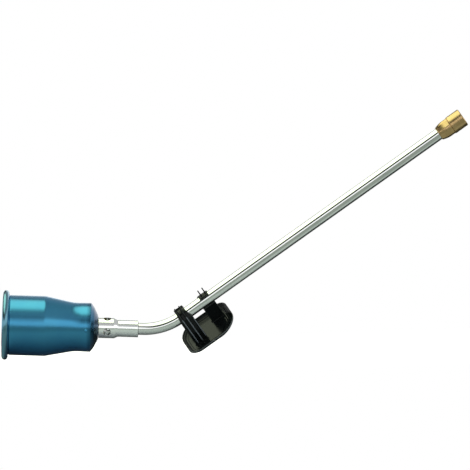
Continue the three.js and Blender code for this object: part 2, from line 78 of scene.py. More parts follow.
def burner_frame():
    joint = JOINTS["burner_unscrew"]
    back = -Vector(joint["axis"])
    on_axis = Vector(joint["pos_m"])
    mouth = reach("burner_cup", local_frame(on_axis, back))[0] * MM
    return local_frame(on_axis + mouth * back, back)


def neck_frame():
    """Its origin is where the two axes cross, in the plane of the bend."""
    joint = JOINTS["nut_spin"]
    up_tube = Vector(joint["axis"])
    on_tube = Vector(joint["pos_m"])
    burner_axis = BURNER.col[0].to_3d()
    away = on_tube - BURNER.translation
    normal = burner_axis.cross(Vector((0, 1, 0)))
    distance = away.dot(normal) / up_tube.dot(normal)
    return local_frame(on_tube - distance * up_tube, up_tube)


def stand_frame():
    joint = JOINTS["stand_swivel"]
    return local_frame(joint["pos_m"], joint["axis"], -Vector(MOUNTS["stand_foot"]["axis"]))


BURNER = burner_frame()
NECK = neck_frame()
STAND = stand_frame()

# ---- sizes, in millimetres ----

CUP_END, CUP_RIM_RADIUS = reach("burner_cup", BURNER)[1:]
CUP_RIM_RADIUS -= 0.06  # a full circle reaches further than the CAD's sides
CUP_RADIUS = 30
CUP_REAR_RADIUS = 24.5
CUP_WALL = 1.2
BEAD_RADIUS = 3.1
SHOULDER_START = 43
SHOULDER_END = 70.5
CUP_REAR_EDGE = 88.5
CUP_HOLE_RADIUS = 7.9

RIVET_STATION = 84
RIVET_SHANK = 1
RIVET_HOLE = 1.25
RIVET_HEAD = 1.7
RIVET_TURN = math.radians(8)
RIVETS = 3

HOLDER_START, HOLDER_END, HOLDER_RADIUS = reach("flame_holder", BURNER)
HOLDER_WALL = 1.2
PORT_RINGS = ((12, 17, 2.1), (8, 10.5, 1.3))  # count, circle and port radius
CENTRE_PORT = 6

MIXER_START, MIXER_END = reach("mixing_tube", BURNER)[:2]
MIXER_RADIUS = 7.5
MIXER_BORE = 6.2
COLLAR_RADIUS = 10.8

SOCKET_START, SOCKET_END, SOCKET_RADIUS = reach("burner_socket", BURNER)
SOCKET_STEP = (112, 115.5)
SOCKET_END_RADIUS = 8.5
SOCKET_FRONT_BORE = 7.7
SOCKET_THREAD_BORE = 6.9
AIR_HOLE_RADIUS = 3.8
AIR_HOLE_STATION = 105
AIR_HOLE_TURN = math.radians(24)
AIR_HOLES = 4
AIR_HOLE_CUT = (3, 14)

TUBE_RADIUS = 6
TUBE_BORE = 5
BEND_RADIUS = 62
TUBE_START = reach("neck_tube", BURNER)[0]
TUBE_END = reach("neck_tube", NECK)[1]

FITTING_START, FITTING_END, FITTING_RADIUS = reach("neck_end_fitting", BURNER)
NIPPLE_START, NIPPLE_END, NIPPLE_RADIUS = reach("tube_nipple", NECK)
RING_START, RING_END, RING_RADIUS = reach("nipple_o_ring", NECK)
NUT_START, NUT_END, NUT_RADIUS = reach("union_nut", NECK)
NUT_REAR_RADIUS = 7.25
NUT_HEX_LENGTH = 14.3
NUT_TAPER_LENGTH = 9.5
NUT_FLAT_SHARE = 0.942  # a flat's distance from the axis, as a share of the corner's
NUT_THREAD_BORE = 7.5
NUT_SLIP_BORE = 6.3
THREAD_PITCH = 1
SOCKET_THREAD_DEPTH = 0.45
FITTING_THREAD_DEPTH = 0.42
NUT_THREAD_DEPTH = 0.4

DISH_LENGTH = 57
DISH_WIDTH = 49
DISH_OFFSET = -1  # the dish's middle, along the tube from the stand's middle
DISH_RIM = 28.6  # below the tube's axis
DISH_DEPTH = 6.5
DISH_WALL = 1.8
DISH_RIDGES = 4
DISH_RIDGE_HEIGHT = 0.4
SHARP_CORNER = 10
SOFT_CORNER = 22
HOOK_BORE = 6.3
HOOK_WALL = 1.2
HOOK_LIP = 9.7
ARM_START = 6.2
ARM_LENGTH = 14.2
ARM_INNER = 7.3
ARM_OUTER = 9.4
ARM_FOOT = -DISH_RIM - DISH_DEPTH + DISH_WALL - 0.6
RIB_OUTER = 12.1
RIB_THICKNESS = 1.2
RIB_STATIONS = (12.2, 17.2)
FIN_TIP = 13.9
EDGE_RIB_OUTER = 11
SADDLE_WALL = 1.2
SADDLE_ANGLES = (math.radians(190), math.radians(305))
GATE_REACH = 15
STAND_VOXEL = 0.3

SHARP_EDGE = math.radians(35)  # a fold that shows as an edge


# ---- mesh helpers ----

def mesh_object(name, points, faces, place):
    """An object in a local frame, from points in millimetres, with its faces turned outwards."""
    mesh = bpy.data.meshes.new(name)
    mesh.from_pydata((np.asarray(points, float) * MM).tolist(), [], faces)
    work = bmesh.new()
    work.from_mesh(mesh)
    bmesh.ops.recalc_face_normals(work, faces=work.faces)
    work.to_mesh(mesh)
    work.free()
    mesh.shade_smooth()
    made = bpy.data.objects.new(name, mesh)
    made.matrix_world = place
    bpy.context.scene.collection.objects.link(made)
    return made


def quads(low, high, count):
    """Faces between two rings of points, from the index at which each ring starts."""
    return [(low + i, low + (i + 1) % count, high + (i + 1) % count, high + i) for i in range(count)]


def extruded(name, near, far, place):
    """A solid between two matching outlines."""
    count = len(near)
    faces = [tuple(range(count)), tuple(range(count, 2 * count)), *quads(0, count, count)]
    return mesh_object(name, near + far, faces, place)


def corner_points(before, corner, after, radius, steps=5):
    """A corner rounded by an arc, with a holding point a little way out on each side."""
    to_before = (before - corner).normalized()
    to_after = (after - corner).normalized()
    half = to_before.angle(to_after) / 2
    if radius == 0 or half > math.radians(89.5):
        return [corner]
    room = 0.45 * min((before - corner).length, (after - corner).length)
    tangent = min(radius / math.tan(half), room)
    radius = tangent * math.tan(half)
    centre = corner + (to_before + to_after).normalized() * (radius / math.sin(half))
    start = corner + to_before * tangent - centre
    turn = start.angle_signed(corner + to_after * tangent - centre)
    points = []
    for step in range(steps + 1):
        spin = Matrix.Rotation(-turn * step / steps, 2)
        points.append(centre + spin @ start)
    hold = min(0.05, 0.1 * room)
    return [points[0] + to_before * hold, *points, points[-1] + to_after * hold]


def rounded(outline, radius=0.15, closed=True):
    """Outline points (x, y) or (x, y, corner radius) with their corners rounded."""
    points = [Vector(p[:2]) for p in outline]
    radii = [p[2] if len(p) > 2 else radius for p in outline]
    last = len(points) - 1
    made = []
    for i, corner in enumerate(points):
        if not closed and i in (0, last):
            made.append(corner)
        else:
            after = points[(i + 1) % len(points)]
            made += corner_points(points[i - 1], corner, after, radii[i])
    return [tuple(p) for p in made]


def turned(name, profile, place, sides=128, shape=None):
    """Solid of revolution about X. The profile is a closed loop of (x, radius), or runs from axis
    to axis. shape(x, radius, angle) may change the radius."""
    profile = np.array(profile, float)
    capped = profile[0, 1] < 1e-6
    poles = profile[[0, -1]] if capped else None
    loop = profile[1:-1] if capped else profile
    angle = np.linspace(0, 2 * math.pi, sides, endpoint=False)[None, :]
    x = np.repeat(loop[:, :1], sides, axis=1)
    radius = np.repeat(loop[:, 1:], sides, axis=1)
    if shape:
        radius = shape(x, radius, angle)
    points = np.stack([x, radius * np.cos(angle), radius * np.sin(angle)], axis=-1).reshape(-1, 3)
    rows = len(loop)
    faces = []
    for row in range(rows - 1 if capped else rows):
        faces += quads(row * sides, (row + 1) % rows * sides, sides)
    if capped:
        points = np.vstack([points, [poles[0][0], 0, 0], [poles[1][0], 0, 0]])
        first, last = rows * sides, (rows - 1) * sides
        faces += [(first, i, (i + 1) % sides) for i in range(sides)]
        faces += [(first + 1, last + i, last + (i + 1) % sides) for i in range(sides)]
    return mesh_object(name, points, faces, place)


def rod(start, end, radius, place, sides=48):
    return turned("cutter", [(start, 0), (start, radius), (end, radius), (end, 0)], place, sides)


def radial(place, station, turn):
    """A frame whose X axis stands radially off the axis of another, measured from its Y axis."""
    spin = Matrix.Rotation(turn, 4, "X") @ Matrix.Rotation(math.pi / 2, 4, "Z")
    return place @ Matrix.Translation((station * MM, 0, 0)) @ spin


def even_turns(count, first=0.0):
    return [first + i * 2 * math.pi / count for i in range(count)]


def below_the_side(angle):
    """A turn measured from the side that faces -Y, positive downwards."""
    return math.pi + angle


def bake_modifiers(piece):
    bpy.context.view_layer.update()
    graph = bpy.context.evaluated_depsgraph_get()
    mesh = bpy.data.meshes.new_from_object(piece.evaluated_get(graph))
    piece.modifiers.clear()
    piece.data = mesh


def boolean(piece, operation, cutters):
    """Cuts the cutters out of a piece, or keeps what lies inside them, and removes them."""
    for cutter in cutters:
        cut = piece.modifiers.new("cut", "BOOLEAN")
        cut.operation = operation
        cut.solver = "EXACT"
        cut.object = cutter
    bake_modifiers(piece)
    for cutter in cutters:
        bpy.data.objects.remove(cutter)


def drill(piece, cutters):
    """Cuts the cutters out of a piece, and keeps its edges crisp."""
    boolean(piece, "DIFFERENCE", cutters)
    piece.data.shade_smooth()
    piece.data.set_sharp_from_angle(angle=SHARP_EDGE)


def threads(depth, start, end):
    """A shape for turned(): a helical thread cut into the surface between two stations."""
    def shape(x, radius, angle):
        turn = (x / THREAD_PITCH - angle / (2 * math.pi)) % 1
        groove = np.abs(2 * turn - 1)
        runout = np.clip(np.minimum(x - start, end - x) / THREAD_PITCH, 0, 1)
        return radius + depth * groove * runout
    return shape


def stations(start, end, step):
    return np.linspace(start, end, max(2, math.ceil(abs(end - start) / step) + 1))


def keep_place(mesh, place):
    """Stores each vertex's place in a local frame, for the materials."""
    inverse = place.inverted()
    local = np.array([inverse @ v.co for v in mesh.vertices], np.float32)
    mark = mesh.attributes.new("place", "FLOAT_VECTOR", "POINT")
    mark.data.foreach_set("vector", local.ravel())


def settle(piece, body, slot, *nodes):
    """Puts a finished piece in the row frame, gives it its slot's material, and says what it rides
    on and stands for."""
    place = piece.matrix_world.copy()
    piece.data.transform(place)
    piece.matrix_world = Matrix.Identity(4)
    keep_place(piece.data, place)
    piece.data.materials.clear()
    piece.data.materials.append(MATERIALS[slot])
    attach(piece, body)
    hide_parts(*nodes)
    return piece


def slot_of(node):
    return next(row["material_slot"] for row in frame["record"]["subparts"] if row["node"] == node)


# ---- material helpers ----

class Nodes:
    """A Principled material with short calls for the nodes that vary it."""

    def __init__(self, name, **values):
        self.material = bpy.data.materials.new(name)
        self.material.use_nodes = True
        self.tree = self.material.node_tree
        self.shader = self.tree.nodes["Principled BSDF"]
        for socket, value in values.items():
            title = socket.replace("_", " ").title().replace("Ior", "IOR")
            self.shader.inputs[title].default_value = value

    def add(self, kind, **settings):
        node = self.tree.nodes.new(kind)
        for key, value in settings.items():
            setattr(node, key, value)
        return node

    def link(self, source, target):
        self.tree.links.new(source, target)

    def place(self, stretch=(1, 1, 1), attribute="place"):
        """A stored place on the piece, scaled along each axis."""
        source = self.add("ShaderNodeAttribute", attribute_name=attribute).outputs["Vector"]
        mapping = self.add("ShaderNodeMapping")
        mapping.inputs["Scale"].default_value = stretch
        self.link(source, mapping.inputs["Vector"])
        return mapping.outputs["Vector"]

    def noise(self, scale, detail=3.0, stretch=(1, 1, 1), attribute="place"):
        node = self.add("ShaderNodeTexNoise")
        node.inputs["Scale"].default_value = scale
        node.inputs["Detail"].default_value = detail
        self.link(self.place(stretch, attribute), node.inputs["Vector"])
        return node.outputs["Fac"]

    def ramp(self, value, *stops):
        """Colours or grey levels at positions from 0 to 1."""
        node = self.add("ShaderNodeValToRGB")
        ramp = node.color_ramp
        while len(ramp.elements) < len(stops):
            ramp.elements.new(0.5)
        for element, (position, level) in zip(ramp.elements, stops):
            element.position = position
            element.color = (*level, 1) if isinstance(level, tuple) else (level, level, level, 1)
        self.link(value, node.inputs["Fac"])
        return node.outputs["Color"]

    def mix(self, share, first, second):
        node = self.add("ShaderNodeMix", data_type="RGBA")
        for socket, value in ((node.inputs[6], first), (node.inputs[7], second)):
            if isinstance(value, tuple):
                socket.default_value = (*value, 1)
            else:
                self.link(value, socket)
        self.link(share, node.inputs[0])
        return node.outputs[2]

    def axis(self, which, low, high):
        """0 at one station along a local axis and 1 at another, in millimetres."""
        split = self.add("ShaderNodeSeparateXYZ")
        self.link(self.place(), split.inputs[0])
        span = self.add("ShaderNodeMapRange")
        span.inputs["From Min"].default_value = low * MM
        span.inputs["From Max"].default_value = high * MM
        self.link(split.outputs[which], span.inputs["Value"])
        return span.outputs["Result"]

    def bump(self, height, strength, distance):
        node = self.add("ShaderNodeBump")
        node.inputs["Strength"].default_value = strength
        node.inputs["Distance"].default_value = distance * MM
        self.link(height, node.inputs["Height"])
        self.link(node.outputs["Normal"], self.shader.inputs["Normal"])

    def feed(self, socket, value):
        self.link(value, self.shader.inputs[socket])


def edge_wear(nodes, radius=0.6):
    """High on convex edges, from the shape itself."""
    wear = nodes.add("ShaderNodeNewGeometry").outputs["Pointiness"]
    return nodes.ramp(wear, (0.5, 0.0), (0.5 + 0.1 * radius, 1.0))


# ---- materials ----

def anodised_titanium():
    """Blue anodised skin: hue drifts from blue to teal, with fine lines round the bell, painted shade
    that darkens the back, and a greyer rolled rim."""
    nodes = Nodes("anodised_titanium", metallic=1.0, roughness=0.2)
    drift = nodes.ramp(nodes.noise(28, 2), (0.3, (0.046, 0.225, 0.40)), (0.7, (0.056, 0.26, 0.42)))
    lines = nodes.noise(60, 4, stretch=(40, 1, 1))
    spun = nodes.mix(nodes.ramp(lines, (0.45, 0.0), (0.75, 0.12)), drift, (0.08, 0.31, 0.47))
    # painted shade: the colour darkens to a near-black navy over the back of the bell
    rear = nodes.ramp(nodes.axis(0, 84, 93), (0.0, 0.0), (0.35, 0.55), (1.0, 0.95))
    skin = nodes.mix(rear, spun, (0.010, 0.040, 0.085))
    rim = nodes.ramp(nodes.axis(0, 5.4, 6.6), (0.0, 0.75), (1.0, 0.0))
    skin = nodes.mix(rim, skin, (0.14, 0.27, 0.32))
    inside = nodes.add("ShaderNodeAttribute", attribute_name="inside").outputs["Fac"]
    heat = nodes.axis(0, 10, 85)
    tint = nodes.ramp(
        heat, (0.0, (0.30, 0.50, 0.62)), (0.45, (0.56, 0.50, 0.62)), (0.8, (0.78, 0.66, 0.50)))
    nodes.feed("Base Color", nodes.mix(inside, skin, tint))
    satin = nodes.ramp(lines, (0.3, 0.20), (0.7, 0.27))
    nodes.feed("Roughness", nodes.mix(inside, satin, (0.5, 0.5, 0.5)))
    nodes.bump(lines, 0.02, 0.03)
    return nodes.material


def satin_nickel():
    nodes = Nodes("satin_nickel", metallic=1.0, roughness=0.14)
    lines = nodes.noise(90, 3, stretch=(30, 1, 1))
    tone = nodes.ramp(nodes.noise(60), (0.3, (0.80, 0.84, 0.83)), (0.7, (0.88, 0.90, 0.88)))
    nodes.feed("Base Color", tone)
    nodes.feed("Roughness", nodes.ramp(lines, (0.3, 0.11), (0.7, 0.18)))
    nodes.bump(lines, 0.04, 0.03)
    return nodes.material


def polished_stainless():
    """Drawn tube: the polish leaves lines along it."""
    nodes = Nodes("polished_stainless", metallic=1.0, roughness=0.09)
    drawn = nodes.noise(700, 3, stretch=(0.02, 1, 1), attribute="drawn")
    cloud = nodes.noise(30, 2, attribute="drawn")
    tone = nodes.ramp(cloud, (0.3, (0.66, 0.69, 0.68)), (0.7, (0.76, 0.78, 0.76)))
    nodes.feed("Base Color", nodes.mix(nodes.ramp(drawn, (0.55, 0.0), (0.8, 0.25)), tone, (0.5, 0.5, 0.48)))
    nodes.feed("Roughness", nodes.ramp(drawn, (0.3, 0.06), (0.7, 0.12)))
    nodes.bump(drawn, 0.03, 0.03)
    return nodes.material


def brass():
    """Turned brass: rings from the tool, and duller where fingers rub off the shine."""
    nodes = Nodes("brass", metallic=1.0, roughness=0.3)
    rings = nodes.noise(120, 3, stretch=(30, 1, 1))
    cloud = nodes.noise(110, 3)
    tone = nodes.ramp(cloud, (0.3, (0.46, 0.31, 0.14)), (0.7, (0.58, 0.41, 0.20)))
    nodes.feed("Base Color", nodes.mix(nodes.ramp(rings, (0.5, 0.0), (0.75, 0.4)), tone, (0.34, 0.21, 0.08)))
    nodes.feed("Roughness", nodes.ramp(cloud, (0.3, 0.24), (0.7, 0.34)))
    nodes.bump(rings, 0.12, 0.05)
    return nodes.material


def black_plastic():
    """Glossy moulding: flow marks, a fine skin, faintly worn edges, painted highlights on the near rib crests."""
    nodes = Nodes("black_plastic", roughness=0.13, ior=1.5)
    flow = nodes.noise(45, 3)
    tone = nodes.ramp(flow, (0.3, (0.003, 0.004, 0.0045)), (0.7, (0.007, 0.009, 0.0095)))
    worn = nodes.mix(edge_wear(nodes), tone, (0.03, 0.036, 0.036))
    # painted highlight: a paler band on the rib crests of the near arm, above the dish
    crest = nodes.ramp(nodes.axis(1, -10.7, -10.95), (0.0, 0.0), (1.0, 0.9))
    above_dish = nodes.ramp(nodes.axis(2, -30.5, -27), (0.0, 0.0), (1.0, 1.0))
    crest_highlight = nodes.mix(above_dish, (0, 0, 0), crest)
    nodes.feed("Base Color", nodes.mix(crest_highlight, worn, (0.13, 0.15, 0.17)))
    nodes.feed("Roughness", nodes.ramp(flow, (0.3, 0.16), (0.7, 0.28)))
    nodes.shader.inputs["Specular IOR Level"].default_value = 0.14
    nodes.bump(nodes.noise(900, 2), 0.04, 0.04)
    return nodes.material


def heat_tinted_steel():
    """Steel that the flame has blued and straw-coloured, with a scaly skin."""
    nodes = Nodes("heat_tinted_steel", metallic=0.5, roughness=0.42)
    cloud = nodes.noise(70, 4)
    nodes.feed("Base Color", nodes.ramp(
        cloud, (0.3, (0.40, 0.39, 0.46)), (0.48, (0.58, 0.50, 0.42)), (0.62, (0.68, 0.58, 0.44)),
        (0.75, (0.48, 0.47, 0.50))))
    nodes.feed("Roughness", nodes.ramp(cloud, (0.3, 0.30), (0.7, 0.5)))
    nodes.bump(nodes.noise(400, 4), 0.15, 0.08)
    return nodes.material


def zinc_plated_steel():
    nodes = Nodes("zinc_plated_steel", metallic=1.0, roughness=0.28)
    cloud = nodes.noise(250, 4)
    nodes.feed("Base Color", nodes.ramp(cloud, (0.3, (0.50, 0.52, 0.53)), (0.7, (0.66, 0.67, 0.66))))
    nodes.feed("Roughness", nodes.ramp(cloud, (0.3, 0.22), (0.7, 0.36)))
    nodes.bump(nodes.noise(800, 2), 0.08, 0.04)
    return nodes.material


def copper():
    nodes = Nodes("copper", metallic=1.0, roughness=0.3)
    cloud = nodes.noise(300, 3)
    nodes.feed("Base Color", nodes.ramp(cloud, (0.3, (0.58, 0.27, 0.15)), (0.7, (0.74, 0.42, 0.27))))
    nodes.feed("Roughness", nodes.ramp(cloud, (0.3, 0.22), (0.7, 0.4)))
    nodes.bump(cloud, 0.1, 0.05)
    return nodes.material


def sintered_bronze():
    """Small balls of bronze fused together."""
    nodes = Nodes("sintered_bronze", metallic=0.8, roughness=0.55)
    balls = nodes.add("ShaderNodeTexVoronoi")
    balls.inputs["Scale"].default_value = 3200
    nodes.link(nodes.place(), balls.inputs["Vector"])
    grain = balls.outputs["Distance"]
    nodes.feed("Base Color", nodes.ramp(grain, (0.1, (0.50, 0.30, 0.14)), (0.7, (0.12, 0.06, 0.03))))
    nodes.feed("Roughness", nodes.ramp(grain, (0.1, 0.45), (0.7, 0.8)))
    nodes.bump(grain, -0.8, 0.2)
    return nodes.material


def black_rubber():
    nodes = Nodes("black_rubber", roughness=0.6)
    skin = nodes.noise(500, 3)
    nodes.feed("Base Color", nodes.ramp(skin, (0.3, (0.012, 0.012, 0.012)), (0.7, (0.03, 0.03, 0.031))))
    nodes.feed("Roughness", nodes.ramp(skin, (0.3, 0.5), (0.7, 0.75)))
    nodes.bump(skin, 0.1, 0.04)
    return nodes.material


MATERIALS = {
    make.__name__: make()
    for make in (
        anodised_titanium, satin_nickel, polished_stainless, brass, black_plastic,
        heat_tinted_steel, zinc_plated_steel, copper, sintered_bronze, black_rubber,
    )
}


# ---- burner ----

def bead_profile():
    """The rolled rim, from the bore round the front to the crease where the curl closes."""
    centre = CUP_RIM_RADIUS - BEAD_RADIUS
    crease = math.asin((CUP_RADIUS - 0.5 - centre) / BEAD_RADIUS)
    angles = np.linspace(-math.pi / 2, crease - 2 * math.pi, 40)
    middle = BEAD_RADIUS + 0.03
    return [(middle + BEAD_RADIUS * math.cos(a), centre + BEAD_RADIUS * math.sin(a)) for a in angles]


def back_outline(offset):
    """The bell's convex back, from its rear edge to the hole, moved inwards by an offset."""
    bend = offset * 0.7
    return [
        (CUP_REAR_EDGE - offset * 0.6, CUP_REAR_RADIUS - offset, 0.6),
        (CUP_REAR_EDGE + 3.4 - bend, CUP_REAR_RADIUS - 4.6 - bend, 12),
        (CUP_REAR_EDGE + 6.2 - offset, CUP_REAR_RADIUS - 10.4 - offset * 0.5, 6),
        (CUP_END - offset, CUP_REAR_RADIUS - 13.6, 1.5),
        (CUP_END - offset, CUP_HOLE_RADIUS, 0.2),
    ]


def mark_inside(mesh):
    """Stores which points of the cup are on the inner side of its wall, for its material."""
    points = np.array([v.co for v in mesh.vertices]) / MM
    radius = np.hypot(points[:, 1], points[:, 2])
    wall = {
        BEAD_RADIUS: CUP_RADIUS, SHOULDER_START: CUP_RADIUS, SHOULDER_END: CUP_REAR_RADIUS,
        CUP_REAR_EDGE: CUP_REAR_RADIUS, CUP_END - CUP_WALL / 2: CUP_HOLE_RADIUS, CUP_END: 0,
    }
    middle = np.interp(points[:, 0], list(wall), np.array(list(wall.values())) - CUP_WALL / 2)
    inner = (radius < middle) & (points[:, 0] > BEAD_RADIUS)
    mark = mesh.attributes.new("inside", "FLOAT", "POINT")
    mark.data.foreach_set("value", inner.astype(np.float32))


def burner_cup():
    bore, rear_bore = CUP_RADIUS - CUP_WALL, CUP_REAR_RADIUS - CUP_WALL
    groove = 2 * BEAD_RADIUS
    outside = rounded(
        [
            (groove - 0.5, CUP_RADIUS - 0.5, 0),
            (groove + 0.7, CUP_RADIUS - 0.45, 0.3),
            (groove + 1.6, CUP_RADIUS, 1.0),
            (SHOULDER_START, CUP_RADIUS, 12),
            (SHOULDER_END, CUP_REAR_RADIUS, 40),
            (CUP_REAR_EDGE - 12, CUP_REAR_RADIUS - 0.25, 200),
            *back_outline(0),
        ],
        closed=False,
    )
    inside = rounded(
        [
            *reversed(back_outline(CUP_WALL)),
            (SHOULDER_END, rear_bore, 40),
            (SHOULDER_START, bore, 12),
            (BEAD_RADIUS + 1.5, bore, 0),
        ],
        closed=False,
    )
    cup = turned("burner_cup_shell", [*inside, *bead_profile(), *outside[1:]], BURNER, 160)
    cutters = [
        rod(20, 30, RIVET_HOLE, radial(BURNER, RIVET_STATION, turn), 24)
        for turn in even_turns(RIVETS, below_the_side(RIVET_TURN))
    ]
    drill(cup, cutters)
    mark_inside(cup.data)
    settle(cup, "burner", "anodised_titanium", "burner_cup")


def rivet(number, turn):
    """A blind rivet with a low dome, a hole where the mandrel broke off, and an upset tail."""
    seat = CUP_REAR_RADIUS + 0.05
    tail = HOLDER_RADIUS - HOLDER_WALL - 0.3
    profile = rounded(
        [
            (tail - 0.9, 0),
            (tail - 0.9, 1.3, 0.3),
            (tail, 1.5, 0.2),
            (tail, RIVET_SHANK, 0),
            (seat, RIVET_SHANK, 0),
            (seat, RIVET_HEAD, 0.08),
            (seat + 0.4, RIVET_HEAD * 0.8, 0.3),
            (seat + 0.6, 0.62, 0.05),
            (seat + 0.15, 0.55, 0.05),
            (seat + 0.25, 0),
        ],
        closed=False,
    )
    made = turned(f"rivet_{number}", profile, radial(BURNER, RIVET_STATION, turn), 32)
    settle(made, "burner", slot_of(f"cup_rivet_{number}"), f"cup_rivet_{number}")


def flame_holder():
    """A perforated cap with a dimpled face and a skirt that the rivets go through."""
    bore = HOLDER_RADIUS - HOLDER_WALL
    back = HOLDER_START + HOLDER_WALL
    profile = rounded([
        (HOLDER_START + 1.6, CENTRE_PORT, 0.3),
        (HOLDER_START, CENTRE_PORT + 1.4, 1),
        (HOLDER_START, HOLDER_RADIUS, 1.2),
        (HOLDER_END, HOLDER_RADIUS, 0.3),
        (HOLDER_END, bore, 0.3),
        (back, bore, 0.6),
        (back, CENTRE_PORT + 2, 1),
        (back + 1.5, CENTRE_PORT, 0.3),
    ])
    holder = turned("flame_holder_plate", profile, BURNER, 144)
    cutters = []
    for count, circle, radius in PORT_RINGS:
        for turn in even_turns(count):
            aside = Matrix.Translation((0, circle * MM * math.cos(turn), circle * MM * math.sin(turn)))
            cutters.append(rod(HOLDER_START - 2, back + 2, radius, BURNER @ aside, 32))
    for turn in even_turns(RIVETS, below_the_side(RIVET_TURN)):
        cutters.append(rod(18, 30, RIVET_HOLE, radial(BURNER, RIVET_STATION, turn), 24))
    drill(holder, cutters)
    settle(holder, "burner", "heat_tinted_steel", "flame_holder")


def mixing_tube():
    collar_back = CUP_END - CUP_WALL - 0.3
    profile = rounded([
        (MIXER_START, MIXER_BORE + 0.8, 0.2),
        (MIXER_START, MIXER_RADIUS, 0.3),
        (collar_back - 1.6, MIXER_RADIUS, 0.4),
        (collar_back - 1.6, COLLAR_RADIUS, 0.3),
        (collar_back, COLLAR_RADIUS, 0.3),
        (collar_back, MIXER_RADIUS, 0.2),
        (MIXER_END, MIXER_RADIUS, 0.3),
        (MIXER_END, MIXER_BORE, 0.3),
        (MIXER_START + 3, MIXER_BORE, 1),
    ])
    made = turned("mixer", profile, BURNER, 96)
    settle(made, "burner", "heat_tinted_steel", "mixing_tube")


def burner_socket():
    """Turned tube with four air holes, a cone down to its threaded end, and a thread inside."""
    step_start, step_end = SOCKET_STEP
    thread = stations(SOCKET_END - 1, step_end + 2, 0.125)
    outline = rounded(
        [
            (step_start, SOCKET_FRONT_BORE, 0.3),
            (SOCKET_START, SOCKET_FRONT_BORE, 0.3),
            (SOCKET_START, SOCKET_RADIUS, 0.35),
            (step_start, SOCKET_RADIUS, 3),
            (step_end, SOCKET_END_RADIUS, 3),
            (SOCKET_END, SOCKET_END_RADIUS, 0.5),
            (SOCKET_END, SOCKET_THREAD_BORE + 0.3, 0.2),
        ],
        closed=False,
    )
    profile = [*outline, *[(x, SOCKET_THREAD_BORE) for x in thread], (step_start, SOCKET_THREAD_BORE)]

    def shape(x, radius, angle):
        cut = threads(SOCKET_THREAD_DEPTH, step_end + 2, SOCKET_END - 1)(x, radius, angle)
        return np.where(radius == SOCKET_THREAD_BORE, cut, radius)

    made = turned("socket", profile, BURNER, 128, shape)
    cutters = [
        rod(*AIR_HOLE_CUT, AIR_HOLE_RADIUS, radial(BURNER, AIR_HOLE_STATION, turn), 64)
        for turn in even_turns(AIR_HOLES, below_the_side(AIR_HOLE_TURN))
    ]
    drill(made, cutters)
    settle(made, "burner", "satin_nickel", "burner_socket")


# ---- neck ----

def tube_path():
    """Points along the tube's centre line in the burner frame, closest together in the bend."""
    neck_in_burner = BURNER.inverted() @ NECK
    corner = neck_in_burner.translation / MM
    along = neck_in_burner.col[0].to_3d()
    angle = math.atan2(along.z, along.x)
    tangent = BEND_RADIUS * math.tan(angle / 2)
    start = corner.x - tangent
    points = [Vector((x, 0, 0)) for x in stations(TUBE_START, start, 4)[:-1]]
    for turn in np.linspace(0, angle, 40):
        points.append(Vector((start + BEND_RADIUS * math.sin(turn), 0, BEND_RADIUS * (1 - math.cos(turn)))))
    points += [corner + along * d for d in stations(tangent, TUBE_END, 6)[1:]]
    return points


def neck_tube(sides=96):
    """The bent tube, with rounded ends. Each point also keeps its place on the straight tube."""
    path = tube_path()
    walked = np.cumsum([0, *[(b - a).length for a, b in zip(path, path[1:])]])
    rim = (TUBE_RADIUS - TUBE_BORE) / 2
    middle = (TUBE_RADIUS + TUBE_BORE) / 2
    lip = [(rim * math.cos(a), rim * math.sin(a)) for a in np.linspace(0, math.pi, 7)[1:-1]]
    sections = [(i, TUBE_RADIUS, 0) for i in range(len(path))]
    sections += [(len(path) - 1, middle + out, ahead) for out, ahead in lip]
    sections += [(i, TUBE_BORE, 0) for i in reversed(range(len(path)))]
    sections += [(0, middle - out, -ahead) for out, ahead in lip]
    angle = np.linspace(0, 2 * math.pi, sides, endpoint=False)
    points, drawn = [], []
    for i, radius, ahead in sections:
        along = (path[min(i + 1, len(path) - 1)] - path[max(i - 1, 0)]).normalized()
        out = Vector((-along.z, 0, along.x))
        centre = path[i] + along * (ahead - rim if i == len(path) - 1 else ahead + rim if i == 0 else 0)
        for a in angle:
            points.append(centre + radius * (math.cos(a) * out + math.sin(a) * Vector((0, 1, 0))))
            drawn.append((walked[i] * MM, radius * MM * math.cos(a), radius * MM * math.sin(a)))
    rows = len(sections)
    faces = []
    for row in range(rows):
        faces += quads(row * sides, (row + 1) % rows * sides, sides)
    made = mesh_object("neck_tube_drawn", points, faces, BURNER)
    mark = made.data.attributes.new("drawn", "FLOAT_VECTOR", "POINT")
    mark.data.foreach_set("vector", np.array(drawn, np.float32).ravel())
    settle(made, "neck", "polished_stainless", "neck_tube")


def neck_end_fitting():
    """The sleeve brazed on the tube's lower end, with its outside thread."""
    lip = 4
    inner = TUBE_RADIUS + 0.15
    thread = stations(FITTING_START + 0.6, FITTING_END - 0.6, 0.125)
    outline = rounded(
        [
            (FITTING_END, inner + 0.3, 0.1),
            (FITTING_END, inner, 0.1),
            (TUBE_START - 0.3, inner, 0.1),
            (TUBE_START - 0.3, lip, 0.1),
            (FITTING_START, lip, 0.3),
            (FITTING_START, FITTING_RADIUS - 0.5, 0.1),
        ],
        closed=False,
    )
    profile = [*outline, *[(x, FITTING_RADIUS) for x in thread], (FITTING_END, FITTING_RADIUS - 0.3)]

    def shape(x, radius, angle):
        cut = threads(-FITTING_THREAD_DEPTH, FITTING_START + 0.6, FITTING_END - 0.6)(x, radius, angle)
        return np.where(radius == FITTING_RADIUS, cut, radius)

    made = turned("end_fitting", profile, BURNER, 96, shape)
    settle(made, "neck", "zinc_plated_steel", "neck_end_fitting")


